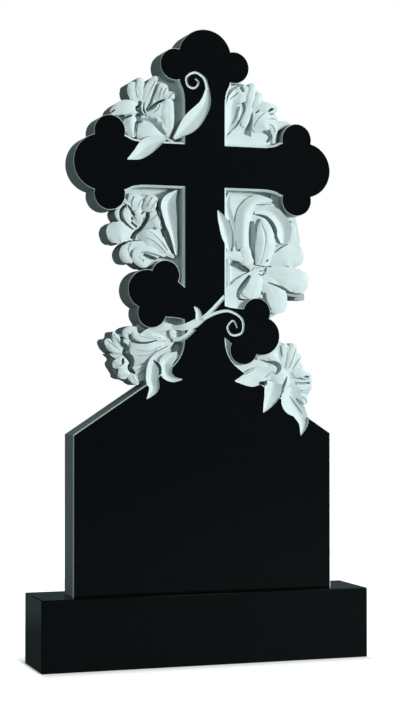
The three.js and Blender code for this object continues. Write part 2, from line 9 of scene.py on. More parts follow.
import bmesh
import bpy
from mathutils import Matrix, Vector


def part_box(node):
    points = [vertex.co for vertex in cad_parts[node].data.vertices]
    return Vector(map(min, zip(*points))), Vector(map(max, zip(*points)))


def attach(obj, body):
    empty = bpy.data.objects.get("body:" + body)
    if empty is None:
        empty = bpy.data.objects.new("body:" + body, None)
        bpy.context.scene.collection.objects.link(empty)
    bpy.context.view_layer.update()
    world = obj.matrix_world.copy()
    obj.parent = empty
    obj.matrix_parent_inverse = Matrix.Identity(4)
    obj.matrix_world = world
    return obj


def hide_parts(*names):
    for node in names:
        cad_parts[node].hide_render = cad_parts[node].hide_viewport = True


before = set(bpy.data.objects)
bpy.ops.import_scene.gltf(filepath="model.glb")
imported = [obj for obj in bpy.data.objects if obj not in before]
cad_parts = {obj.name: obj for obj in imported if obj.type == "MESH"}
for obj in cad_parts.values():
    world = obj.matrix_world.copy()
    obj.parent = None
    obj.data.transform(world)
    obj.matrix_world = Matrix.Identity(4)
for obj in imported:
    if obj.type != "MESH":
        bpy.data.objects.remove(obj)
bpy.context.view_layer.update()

MM = 0.001

# Planes of the stone, from the frame, in metres
STELE_LOW, STELE_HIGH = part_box("stele")
PLINTH_LOW, PLINTH_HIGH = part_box("plinth")
FACE_Y = STELE_LOW.y
BACK_Y = STELE_HIGH.y
HALF_WIDTH = STELE_HIGH.x
OVERRUN = 6 * MM

# Sizes of the slab, in millimetres as on a mason's drawing
CORNER_ARRIS = 4.5
EDGE_ARRIS = 1.0
GABLE_ARRIS = 2.0
PLINTH_ARRIS = 1.5
GROUND_DEPTH = 33.0
POST_HALF = 49.2
POST_FOOT_Z = 680.0
PANEL_NECK_HALF = 46.7
CROSSING_Z = 1057.2
BAR_CENTRE_Z = 744.0
BAR_ANGLE = math.radians(-20.5)
SHOULDER_Z = 486.2
GABLE_SLOPE = 0.66
GABLE_END_X = 85.0
FILLET_TOP_Z = 690.0
ARM = {
    "tip": HALF_WIDTH / MM,
    "neck": [[0, 49.3], [125, 49.3], [145, 50.3], [160, 53], [178, 60.5], [205, 60.5]],
    "arris": CORNER_ARRIS,
    "lobe": 60.0,
    "side_lobe": {"radius": 34.2, "back": 78.5, "out": 66.0},
}
TOP_ARM = {**ARM, "tip": STELE_HIGH.z / MM - CROSSING_Z}
BAR = {
    "tip": 179.5,
    "neck": [[0, 31], [40, 31], [60, 34.5], [84, 41.5], [108, 41.5]],
    "arris": EDGE_ARRIS,
    "lobe": 42.0,
    "side_lobe": {"radius": 31.6, "back": 69.5, "out": 43.0},
}

# Fineness of the mesh
LOBE_SIDES = 112
CURVE_STEPS = 14
BLADE_PITCH = 2.2
BLADE_STRIPS = 12
TENDRIL_STRIPS = 6
SMOOTH_ANGLE = math.radians(38)

# How the surface of a petal is worked, in millimetres and in waves along its length
MIDRIB = 0.6
MIDRIB_WIDTH = 0.16
RUFFLE = 1.6
RUFFLE_WAVES = 2.6
RUFFLE_OUTLINE = 0.05
FRILL_WAVES = 6.3
FRILL_OUTLINE = 0.035
RUFFLE_PHASE = 1.7
ROUND_FROM = 0.84
ROUND_OFF = 0.8
KEELED_FROM = 7
KEEL_ROUNDING = 0.01
CREASE_DEPTH = 4.0
STAMEN_HALF = [1.3, 1.3, 1.5, 2.4, 1.2]
SHALLOWEST = 0.5

# The camera of the picture, in metres, with its lens in millimetres on a 36 mm long side
CAMERA_PLACE = Vector((-1.1885, -3.5148, 0.5898))
CAMERA_AIM = Vector((0.0040, 0.0, 0.6613))
CAMERA_LENS = 88.1

# The studio: soft boxes as place and size in metres and power in watts, and the room that they stand in
LIT_POINT = Vector((0.0, 0.0, 0.75))
SOFT_BOXES = {
    "key": (Vector((3.28, -3.64, 1.18)), 0.8, 210.0),
    "fill": (Vector((-2.2, -3.2, 1.6)), 1.2, 18.0),
    "top": (Vector((0.8, -1.0, 4.2)), 2.6, 25.0),
}
ROOM_LEFT = (0.09, 0.125, 0.125)
ROOM_RIGHT = (0.33, 0.46, 0.46)
FLOOR_RADIUS = 1.6
FLOOR_SIDES = 96
FLOOR_GLOW = 0.9
WHITE = (1.0, 1.0, 1.0)
FOOT_SHADE = (0.25, 0.25, 0.25)
FOOT_SHADE_FADE = (90.0, 7.0, 1.0)


def blade(name, spine, half, depth, cup, kind):
    """A petal or leaf: spine points on the face, half widths and depths along it, edge against spine."""
    return {"name": name, "spine": spine, "half": half, "depth": depth, "cup": cup, "kind": kind}


def petal(*values):
    """One cut out of the depth of the corner."""
    return blade(*values, "petal")


def sunk(*values):
    """One that runs on over the polished face, sunk into it."""
    return blade(*values, "sunk")


def tendril(*values):
    """A thin curl sunk into the polished face."""
    return blade(*values, "tendril")


def backing(*values):
    """A step left behind a petal's edge, in real shade, its front dark sawn stone as painted shade."""
    return blade(*values, "backing")


def bed(depth, outline):
    """The stone that petals grow out of, at its depth below the face."""
    return {"depth": depth, "outline": outline}


def slot(name, spine, half, depth):
    """A cleft between petals, deepest along its spine."""
    return blade(name, spine, half, [depth, depth], -0.5 * depth, "slot")


def line(*values):
    """A fine cut that parts two folds, dark with real shade and the clefts' painted shade."""
    return slot(*values)


def crease(name, spine, half, depth):
    """A groove in the pale stone of one petal."""
    return blade(name, spine, half, depth, -CREASE_DEPTH, "crease")


def stamen(name, spine, depth):
    """A thread with a thicker end, standing in a flower's throat."""
    return blade(name, spine, STAMEN_HALF, depth, 1.0, "stamen")


UPPER_LEFT_LILY = {
    "ground": [[-40, 1095], [-40, 1250], [-95, 1250], [-122, 1230], [-150, 1212], [-185, 1168],
               [-185, 1095]],
    "beds": [
        bed(17, [[-188, 1173], [-170, 1186], [-150, 1192], [-154, 1222], [-138, 1232], [-122, 1230],
            [-108, 1236], [-96, 1230], [-78, 1224], [-70, 1205], [-70, 1160], [-76, 1122], [-114, 1112],
            [-144, 1114], [-165, 1126], [-168, 1155]]),
    ],
    "blades": [
        petal("left petal", [[-140, 1174], [-172, 1177], [-207, 1163]], [9, 14, 14, 5], [14, 8, 12], 3),
        petal("lower left petal", [[-156, 1164], [-162, 1140], [-155, 1113]], [8, 15, 13, 5], [13, 7, 10],
              8),
        petal("upper left petal", [[-146, 1184], [-156, 1206], [-160, 1230]], [7, 11, 12, 8], [18, 9, 8],
              3),
        petal("upper middle petal", [[-140, 1186], [-141, 1212], [-142, 1240]], [6, 8, 10, 9],
              [18, 10, 8], 3),
        petal("upper petal", [[-128, 1184], [-124, 1212], [-106, 1244]], [9, 11, 10, 6], [20, 9, 6], 2),
        petal("upper right petal", [[-106, 1198], [-95, 1212], [-90, 1231]], [8, 11, 13, 10], [16, 9, 9],
              2),
        petal("upper right curl", [[-100, 1200], [-82, 1205], [-64, 1205]], [7, 11, 10, 6], [16, 10, 10],
              2),
        petal("right petal", [[-76, 1117], [-80, 1156], [-80, 1198]], [3, 13, 14, 13], [18, 7, 8], 3),
        petal("right inner fold", [[-127, 1163], [-106, 1170], [-86, 1180]], [3, 10, 17, 14], [14, 9, 9],
              3),
        petal("right lower fold", [[-118, 1158], [-100, 1150], [-84, 1128]], [3, 9, 10, 4], [13, 10, 12],
              3),
        petal("lower petal", [[-85, 1117], [-118, 1126], [-147, 1130]], [4, 15, 21, 20], [15, 9, 11], 3),
        petal("stalk", [[-84, 1119], [-72, 1112], [-60, 1102]], [3, 3, 3], [20, 18, 20], 1),
        sunk("arm leaf", [[-86, 1116], [-124, 1097], [-147, 1078], [-172, 1065]], [5, 17, 13, 1],
             [9, 11, 9, 1.5], -9),
        sunk("post leaf", [[-66, 1114], [-32, 1148], [-1, 1188], [6, 1224]], [3, 19, 13, 4],
             [10, 11, 9, 3], -9),
        tendril("post tendril", [[6, 1220], [-1, 1244], [-22, 1256], [-41, 1245], [-38, 1227],
                [-23, 1223], [-14, 1235], [-22, 1243]], [4, 2.6, 2.4, 2.2, 1.6], [2.5, 2.5], -1),
    ],
    "slots": [
        slot("throat", [[-141, 1192], [-139, 1183], [-148, 1175], [-138, 1167], [-147, 1159],
             [-138, 1151], [-149, 1142], [-153, 1117]], [3, 4.5, 4, 5, 4, 5, 3.5, 1], 34),
        slot("cleft by the upper petal", [[-97, 1243], [-103, 1228], [-110, 1208], [-115, 1190],
             [-124, 1174]], [2.5, 4, 3.5, 3.5, 3], 34),
        slot("cleft over the right petal", [[-132, 1169], [-114, 1179], [-101, 1190], [-86, 1197]],
             [3, 5, 3, 2], 34),
        slot("cleft over the lower petal", [[-138, 1153], [-116, 1151], [-98, 1136], [-83, 1121]],
             [2, 5.5, 5.5, 2.5], 26),
        slot("cleft under the left petal", [[-182, 1149], [-172, 1155], [-158, 1160]], [4, 3, 1.5], 30),
    ],
    "lines": [
        line("notch of the left petal", [[-207, 1162], [-195, 1170]], [1.5, 2.2, 0.8], 22),
        crease("fold of the upper left petals", [[-146, 1196], [-151, 1214], [-150, 1234]], [1, 2, 2],
               [16, 15, 15]),
        crease("first ruffle", [[-99, 1199], [-98, 1210], [-93, 1222]], [1.4, 2, 1], [15, 14]),
        crease("second ruffle", [[-90, 1201], [-88, 1213], [-82, 1222]], [1.2, 1.8, 1], [14, 14]),
        crease("third ruffle", [[-78, 1199], [-74, 1207], [-68, 1211]], [1, 1.6, 1], [14, 14]),
        crease("saw edge", [[-120, 1157], [-106, 1155], [-104, 1147], [-95, 1146], [-94, 1137]],
               [1.5, 2, 1.5], [16, 16]),
        crease("inner fold", [[-112, 1168], [-102, 1176], [-98, 1186]], [1, 1.6, 1], [14, 13]),
        crease("upper petal fold", [[-126, 1190], [-120, 1212], [-108, 1236]], [0.8, 1.5, 0.8],
               [13, 12, 10]),
    ],
    "stamens": [
        stamen("left stamen", [[-131, 1162], [-138, 1172], [-136, 1188]], [9, 8]),
        stamen("right stamen", [[-127, 1164], [-131, 1176], [-129, 1189]], [9, 8]),
    ],
}
UPPER_RIGHT_LILY = {
    "ground": [[40, 1095], [40, 1250], [80, 1250], [118, 1236], [140, 1205], [170, 1190], [180, 1168],
               [205, 1168], [205, 1095]],
    "beds": [
        bed(17, [[46, 1100], [46, 1215], [60, 1236], [108, 1236], [128, 1228], [146, 1194], [164, 1180],
            [166, 1150], [168, 1122], [160, 1110], [140, 1100]]),
        bed(13, [[150, 1150], [158, 1130], [172, 1143], [206, 1159], [168, 1166], [150, 1166]]),
    ],
    "blades": [
        petal("post side leaf", [[50, 1122], [62, 1158], [66, 1198], [80, 1230]], [3, 14, 14, 8],
              [12, 12, 12, 12], -6),
        petal("arched leaf", [[62, 1138], [82, 1164], [88, 1192]], [2, 7, 5, 3], [15, 13, 14], -4),
        petal("curled petal", [[60, 1210], [84, 1216], [106, 1228]], [9, 17, 17, 12], [11, 8, 8], 3),
        petal("filling petal", [[92, 1148], [100, 1170], [106, 1194]], [5, 9, 10, 8], [14, 11, 11], 2),
        petal("inner fold", [[98, 1180], [106, 1208], [112, 1242]], [8, 9, 10, 8], [14, 6, 6], 4),
        petal("outer fold", [[112, 1178], [121, 1200], [129, 1222]], [8, 9, 10, 6], [14, 8, 9], 3),
        petal("trumpet", [[112, 1144], [132, 1165], [163, 1178]], [11, 27, 24, 14], [14, 6, 10], 5),
        petal("upper trumpet", [[120, 1180], [142, 1190], [168, 1187]], [12, 14, 12, 8], [10, 6, 9], 3),
        petal("lip", [[142, 1160], [161, 1148], [163, 1112]], [9, 11, 8, 4], [9, 10, 14], 3),
    ],
    "slots": [
        slot("cleft by the arched leaf", [[55, 1128], [70, 1143], [85, 1163], [95, 1187], [91, 1199]],
             [1.2, 1.8, 2.2, 2.6, 1.5], 24),
        slot("cleft by the trumpet", [[101, 1130], [107, 1150], [112, 1178]], [11, 5, 1], 34),
        slot("cleft under the lip", [[137, 1140], [150, 1136], [155, 1127], [148, 1117]],
             [2, 4.5, 4.5, 3], 30),
        slot("mouth", [[147, 1182], [154, 1187], [161, 1190]], [1, 3.2, 1.2], 24),
        slot("curl", [[86, 1234], [91, 1222]], [3, 4, 2], 22),
    ],
    "lines": [
        line("mouth line", [[150, 1177], [162, 1179]], [0.8, 1.6, 0.8], 18),
        line("fold line", [[118, 1177], [128, 1185]], [0.8, 2, 0.8], 18),
        line("rim of the mouth", [[170, 1190], [171, 1180]], [0.8, 1.6, 0.8], 24),
        crease("first curl fold", [[58, 1214], [67, 1225], [77, 1231]], [0.8, 1.4, 1], [15, 14]),
        crease("second curl fold", [[60, 1204], [70, 1213], [80, 1220]], [0.8, 1.8, 1], [16, 14]),
        crease("hollow of the side leaf", [[64, 1150], [74, 1170], [78, 1196]], [1, 3, 2], [17, 18, 17]),
        crease("first lip fold", [[148, 1166], [156, 1168], [164, 1166]], [0.8, 1.6, 0.8], [13, 14]),
        crease("second lip fold", [[150, 1156], [160, 1150], [165, 1138]], [0.8, 1.8, 0.8], [14, 15]),
        crease("trumpet fold", [[116, 1148], [124, 1166], [140, 1180]], [0.8, 1.6, 0.8], [15, 11, 10]),
    ],
}
LOWER_LEFT_LILY = {
    "ground": [[-40, 1020], [-200, 1020], [-185, 965], [-172, 940], [-160, 900], [-172, 872], [-150, 845],
               [-110, 830], [-40, 790]],
    "beds": [
        bed(17, [[-186, 964], [-180, 982], [-146, 991], [-104, 989], [-98, 960], [-90, 924], [-68, 870],
            [-96, 864], [-106, 850], [-146, 848], [-176, 870], [-178, 884], [-160, 896], [-196, 894],
            [-204, 906], [-194, 924], [-182, 940]]),
    ],
    "blades": [
        petal("left petal", [[-154, 907], [-184, 912], [-213, 902]], [10, 20, 23, 14], [16, 7, 11], 3),
        petal("ear of the cup", [[-184, 936], [-190, 952], [-180, 968]], [4, 6, 7, 4], [14, 10, 12], 2),
        petal("left of cup", [[-156, 922], [-171, 944], [-166, 966]], [3, 9, 9, 5], [18, 10, 11], 2),
        petal("middle of cup", [[-147, 924], [-142, 944], [-148, 960]], [4, 8, 9, 6], [20, 12, 12], 2),
        petal("right of cup", [[-134, 926], [-112, 939], [-97, 939]], [4, 14, 19, 17], [16, 8, 8], 3),
        petal("far ruffle", [[-158, 956], [-171, 968], [-179, 982]], [8, 13, 13, 7], [14, 10, 15], 3),
        petal("left ruffle", [[-150, 957], [-152, 976], [-145, 993]], [10, 15, 17, 12], [15, 9, 15], 3),
        petal("right ruffle", [[-126, 956], [-118, 974], [-105, 990]], [9, 13, 14, 9], [15, 9, 14], 3),
        petal("long leaf", [[-59, 1005], [-78, 978], [-76, 948], [-67, 908], [-60, 866]],
              [1, 16, 15, 8, 3], [12, 17, 17, 14, 14], -10),
        petal("tube", [[-148, 904], [-110, 898], [-66, 864]], [14, 19, 15, 3], [18, 8, 9, 14], 4),
        petal("scroll back", [[-64, 862], [-104, 879], [-150, 887], [-172, 876], [-173, 860],
              [-157, 849]], [3, 8, 9, 11, 11, 5], [16, 11, 10, 10, 10, 12], 3),
        petal("scroll curl", [[-84, 864], [-118, 876], [-144, 876], [-150, 860], [-134, 847],
              [-108, 851]], [3, 6, 7, 9, 9, 4], [14, 9, 9, 9, 10, 14], 2),
    ],
    "slots": [
        slot("throat", [[-123, 957], [-125, 942], [-137, 922], [-150, 911], [-157, 898]], [3, 4, 4, 5, 7],
             36),
        slot("rim of the cup", [[-170, 971], [-182, 958], [-181, 942], [-170, 929], [-154, 918]],
             [1.5, 4, 4, 3, 1.5], 30),
        slot("bar of the cup", [[-168, 969], [-152, 948]], [2, 3.2, 2], 30),
        slot("upper heart", [[-158, 945], [-156, 938]], [2, 3.4, 2.4], 26),
        slot("lower heart", [[-160, 935], [-146, 924]], [2, 3.6, 2.4], 26),
        slot("upper cleft by the long leaf", [[-88, 997], [-99, 978], [-101, 957], [-97, 938]],
             [1.5, 4, 4, 1], 32),
        slot("lower cleft by the long leaf", [[-92, 922], [-79, 893], [-67, 869]], [3, 4.5, 2], 32),
        slot("scroll eye", [[-132, 867], [-116, 861], [-98, 856]], [2.5, 4.5, 2], 32),
    ],
    "lines": [
        line("edge of the tube", [[-145, 919], [-92, 923]], [0.8, 1.1, 0.8], 16),
        line("edge of the scroll", [[-178, 885], [-164, 893], [-138, 896]], [1.5, 1.8, 0.8], 20),
        line("lip of the cup", [[-138, 951], [-131, 957]], [2, 3, 2], 24),
        crease("far fold", [[-170, 962], [-176, 974]], [1, 1.8, 1], [14, 16]),
        crease("first left fold", [[-159, 962], [-160, 976], [-154, 988]], [1, 2, 1.5], [15, 15, 18]),
        crease("second left fold", [[-146, 961], [-143, 975], [-135, 987]], [1, 2.2, 1.5], [15, 14, 18]),
        crease("first right fold", [[-126, 966], [-122, 978], [-113, 988]], [1, 2, 1.2], [15, 14, 17]),
        crease("second right fold", [[-117, 961], [-112, 972], [-104, 982]], [1, 2, 1.2], [15, 14, 16]),
        crease("first tube fold", [[-122, 916], [-100, 899], [-80, 876]], [0.8, 1.8, 1], [12, 12, 15]),
        crease("second tube fold", [[-140, 903], [-112, 894], [-84, 871]], [0.8, 2, 1], [13, 12, 15]),
        crease("scroll groove", [[-124, 871], [-140, 868], [-143, 858], [-132, 852]], [1.5, 3, 3, 1.5],
               [13, 14, 14]),
        crease("scroll back groove", [[-161, 890], [-167, 878], [-163, 860]], [1, 2.2, 1.2], [14, 14]),
        crease("fold of the cup", [[-130, 930], [-112, 944], [-102, 954]], [0.8, 1.5, 0.8], [13, 12]),
    ],
}
LOWER_RIGHT_LILY = {
    "ground": [[40, 1020], [200, 1020], [222, 955], [232, 905], [225, 870], [210, 840], [212, 800],
               [192, 772], [178, 745], [160, 735], [40, 740]],
    "beds": [
        bed(17, [[50, 884], [50, 998], [98, 998], [146, 995], [164, 982], [188, 960], [200, 930],
            [214, 900], [222, 870], [210, 848], [226, 815], [222, 796], [190, 794], [184, 766],
            [166, 746], [152, 752], [146, 776], [112, 784], [104, 800], [114, 832], [92, 856],
            [62, 864]]),
        bed(23, [[157, 977], [159, 1004], [184, 1004], [190, 972], [182, 960]]),
        bed(19, [[62, 806], [104, 834], [64, 836]]),
        bed(13, [[40, 766], [40, 792], [78, 810], [98, 790], [112, 770], [92, 746], [60, 748]]),
    ],
    "blades": [
        petal("slender leaf", [[60, 1005], [53, 978], [58, 952], [68, 924], [70, 888]], [1, 7, 8, 6, 3],
              [12, 13, 13, 13, 13], -5),
        petal("inner arch", [[92, 882], [91, 930], [98, 966], [123, 987], [159, 990]],
              [14, 18, 17, 14, 4], [9, 6, 6, 8, 12], 8),
        petal("outer arch", [[118, 967], [155, 964], [181, 935], [185, 898]], [7, 14, 18, 13],
              [14, 15, 15, 15], -9),
        petal("back petal", [[192, 888], [206, 914], [207, 948]], [10, 12, 9, 4], [18, 15, 17], 2),
        petal("bud", [[134, 848], [142, 900], [134, 950]], [14, 23, 20, 6], [10, 5, 8], 5),
        petal("left petal", [[112, 850], [86, 866], [47, 868]], [11, 12, 10, 7], [12, 9, 10], 3),
        petal("bump of the left petal", [[99, 848], [97, 868], [95, 888]], [9, 13, 13, 11], [11, 8, 9],
              3),
        petal("lower petal", [[129, 842], [115, 808], [103, 776]], [9, 18, 22, 18], [14, 8, 10], 3),
        petal("lower left petal", [[112, 835], [80, 806], [52, 776]], [3, 9, 15, 15], [12, 11, 13], 2),
        petal("post side fold", [[58, 862], [58, 828], [57, 790]], [13, 13, 13], [11, 11], 12),
        petal("upper right petal", [[144, 858], [186, 872], [230, 869]], [13, 22, 25, 20], [13, 7, 9], 3),
        petal("right petal", [[144, 834], [194, 823], [240, 807]], [11, 21, 26, 22], [13, 6, 8], 3),
        petal("lower right petal", [[132, 826], [164, 790], [172, 745]], [14, 23, 24, 16], [13, 7, 9], 3),
        backing("upper step", [[194, 794], [225, 788]], [8, 8], [21, 21], 0),
        backing("lower step", [[216, 783], [238, 783]], [7, 7], [25, 25], 0),
        sunk("post leaf", [[58, 882], [47, 926], [29, 964]], [5, 14, 11, 1], [12, 11, 2], -8),
    ],
    "slots": [
        slot("cleft by the bud", [[112, 944], [113, 918], [112, 890], [117, 866], [118, 850]],
             [6, 9, 6, 2.4, 1.2], 34),
        slot("cleft under the outer arch", [[121, 959], [143, 954], [158, 940], [165, 922], [163, 906]],
             [1, 2.6, 3.4, 3.2, 1], 32),
        slot("cleft by the slender leaf", [[58, 946], [66, 915], [67, 878]], [1.5, 3.2, 2.6], 32),
        slot("cleft under the left petal", [[62, 852], [82, 846], [104, 837]], [3, 7, 3], 36),
        slot("cleft by the lower petal", [[107, 827], [92, 806], [81, 789], [83, 776], [98, 774]],
             [3, 6, 5, 3, 1], 36),
        slot("cleft under the right petal", [[148, 812], [180, 801], [198, 791]], [1.2, 3, 2.5], 30),
        slot("slit of the lower right petal", [[141, 790], [143, 772], [156, 752]], [2, 3.2, 1], 22),
    ],
    "lines": [
        line("cleft between the arches", [[120, 979], [159, 983]], [0.8, 1.6, 1], 22),
        line("edge of the upper right petal", [[163, 877], [180, 890], [196, 898]], [1, 1.8, 0.6], 18),
        line("edge of the lower left petal", [[62, 806], [82, 823], [106, 835]], [0.8, 1.6, 0.8], 20),
        line("first anther", [[122, 841], [132, 846], [142, 846]], [0.8, 1.6, 1], 19),
        line("second anther", [[126, 830], [134, 828], [143, 832]], [0.8, 2.2, 0.8], 21),
        line("third anther", [[128, 837], [136, 837], [145, 842]], [0.8, 2.2, 0.8], 21),
        line("fourth anther", [[145, 847], [157, 847]], [0.8, 2.2, 0.8], 19),
        line("fifth anther", [[143, 856], [149, 862]], [0.8, 2.2, 0.8], 18),
        line("edge of the side fold", [[60, 850], [60, 804]], [0.8, 1.4, 0.8], 17),
        crease("fold of the bud", [[128, 944], [139, 915], [137, 880], [129, 853]], [2, 5, 5, 2],
               [10, 8.5, 8.5, 12]),
    ],
}
BOTTOM_LEFT_LILY = {
    "ground": [[-40, 745], [-118, 745], [-150, 708], [-178, 698], [-196, 698], [-211, 684], [-203, 664],
               [-198, 645], [-198, 626], [-186, 608], [-165, 599], [-140, 592], [-100, 590], [-40, 620]],
    "beds": [
        bed(17, [[-204, 688], [-194, 696], [-180, 698], [-156, 710], [-136, 694], [-86, 708], [-60, 718],
            [-58, 690], [-72, 668], [-126, 640], [-124, 604], [-146, 594], [-170, 608], [-190, 628],
            [-190, 650], [-204, 670]]),
        bed(15, [[-68, 682], [-40, 688], [-40, 717], [-68, 717]]),
    ],
    "blades": [
        petal("upper mouth petal", [[-174, 660], [-189, 676], [-200, 702]], [8, 11, 9, 3], [16, 8, 10],
              3),
        petal("left mouth petal", [[-172, 656], [-196, 667], [-217, 685]], [7, 12, 11, 6], [15, 9, 11],
              3),
        petal("mouth tooth", [[-178, 648], [-194, 650], [-207, 656]], [4, 5, 3, 1], [16, 13, 14], 1),
        petal("lower mouth petal", [[-166, 643], [-184, 637], [-201, 631]], [8, 12, 11, 7], [16, 8, 11],
              2),
        petal("low mouth petal", [[-163, 630], [-176, 618], [-180, 603]], [8, 12, 12, 8], [16, 9, 12], 2),
        petal("bottom petal", [[-164, 618], [-157, 605], [-144, 591]], [5, 9, 8, 3], [16, 10, 13], 2),
        petal("top curl", [[-164, 690], [-171, 701], [-154, 712]], [6, 9, 8, 4], [14, 8, 9], 2),
        petal("upper fold", [[-154, 713], [-151, 695], [-128, 687], [-100, 691], [-82, 684]],
              [5, 8, 8, 7, 3], [10, 7, 7, 8, 13], 2),
        petal("lens leaf", [[-142, 693], [-116, 702], [-86, 692]], [3, 8, 8, 3], [10, 9, 12], -3),
        petal("shoulder", [[-114, 706], [-86, 713], [-62, 712]], [5, 9, 8, 4], [14, 11, 13], 2),
        petal("body", [[-84, 676], [-122, 662], [-162, 655]], [8, 19, 28, 28], [12, 6, 11], 6),
        petal("lower body fold", [[-124, 642], [-138, 632], [-156, 622]], [4, 10, 13, 10], [12, 12, 14],
              2),
        petal("calyx", [[-62, 713], [-69, 700], [-62, 685]], [4, 8, 7, 4], [14, 9, 14], 2),
        sunk("gable leaf", [[-76, 668], [-110, 641], [-117, 606], [-114, 583], [-129, 561]],
             [6, 12, 14, 11, 1], [10, 10, 10, 9, 1.5], -9),
        sunk("curled leaf", [[-58, 657], [-84, 640], [-86, 616], [-71, 603], [-50, 602]],
             [5, 15, 13, 7, 1], [10, 11, 10, 7, 1.5], -9),
        sunk("lower root", [[-68, 686], [-46, 691], [-24, 711]], [4, 5, 6], [12, 7, 4], -1),
        sunk("stem", [[-68, 712], [-46, 713], [-22, 721], [4, 738], [46, 781]], [4, 7, 9, 5, 4.5],
             [12, 5, 4, 4, 4], -2),
        sunk("stem leaf", [[-14, 728], [-15, 745], [-24, 757]], [7, 7, 5, 1], [4, 4, 1.5], -3),
        tendril("stem tendril", [[-4, 730], [26, 744], [56, 748], [84, 731], [84, 703], [62, 697],
                [51, 713], [64, 728], [73, 712]], [3.5, 2.8, 2.4, 2.2, 1.6], [2.5, 2.5], -1),
    ],
    "slots": [
        slot("throat", [[-179, 692], [-180, 679], [-170, 669], [-175, 658], [-163, 648], [-158, 636],
             [-162, 625], [-150, 614]], [4, 5, 6, 5, 7, 5, 6, 2], 36),
        slot("cleft under the fold", [[-165, 696], [-156, 682], [-130, 679], [-104, 685]],
             [2.5, 2.5, 2, 1], 24),
        slot("mouth", [[-178, 647], [-179, 634]], [2, 3.6, 2.4], 28),
        slot("notch of the mouth", [[-203, 626], [-192, 618]], [2, 3.4, 1.5], 30),
        slot("cleft between the leaves", [[-112, 643], [-100, 628], [-98, 613]], [1, 4, 2.5], 34),
    ],
    "lines": [
        line("edge of the calyx", [[-78, 708], [-80, 698], [-74, 687]], [0.8, 1.8, 0.8], 18),
        crease("edge of the mouth petals", [[-178, 655], [-192, 656], [-206, 660]], [0.8, 1.8, 1],
               [16, 17]),
        crease("first mouth fold", [[-180, 666], [-192, 682], [-199, 697]], [1, 2.6, 1.4], [12.5, 12]),
        crease("second mouth fold", [[-182, 660], [-200, 672], [-213, 684]], [1, 2.6, 1.4], [12.5, 12.5]),
        crease("third mouth fold", [[-176, 664], [-184, 674], [-190, 688]], [0.8, 1.6, 0.8], [14, 14]),
        crease("first body fold", [[-150, 664], [-124, 661], [-96, 672]], [1, 2, 1], [12, 10, 13]),
        crease("second body fold", [[-146, 652], [-126, 653], [-104, 664]], [0.8, 1.6, 0.8],
               [13, 11, 13]),
        crease("first low fold", [[-132, 636], [-146, 632], [-156, 630]], [0.8, 1.6, 0.8], [16, 17]),
        crease("second low fold", [[-134, 628], [-146, 622], [-154, 619]], [0.8, 1.6, 0.8], [16, 17]),
        crease("fold of the bottom petal", [[-160, 612], [-154, 602], [-147, 594]], [0.8, 2.2, 1],
               [12.5, 13.5]),
        crease("fold of the upper fold", [[-146, 704], [-140, 693], [-118, 688], [-96, 690]],
               [0.8, 1.8, 1.6, 0.8], [10, 10, 11]),
        crease("lower mouth rib", [[-172, 640], [-186, 630], [-194, 634]], [0.8, 1.6, 0.8], [14, 13]),
    ],
}
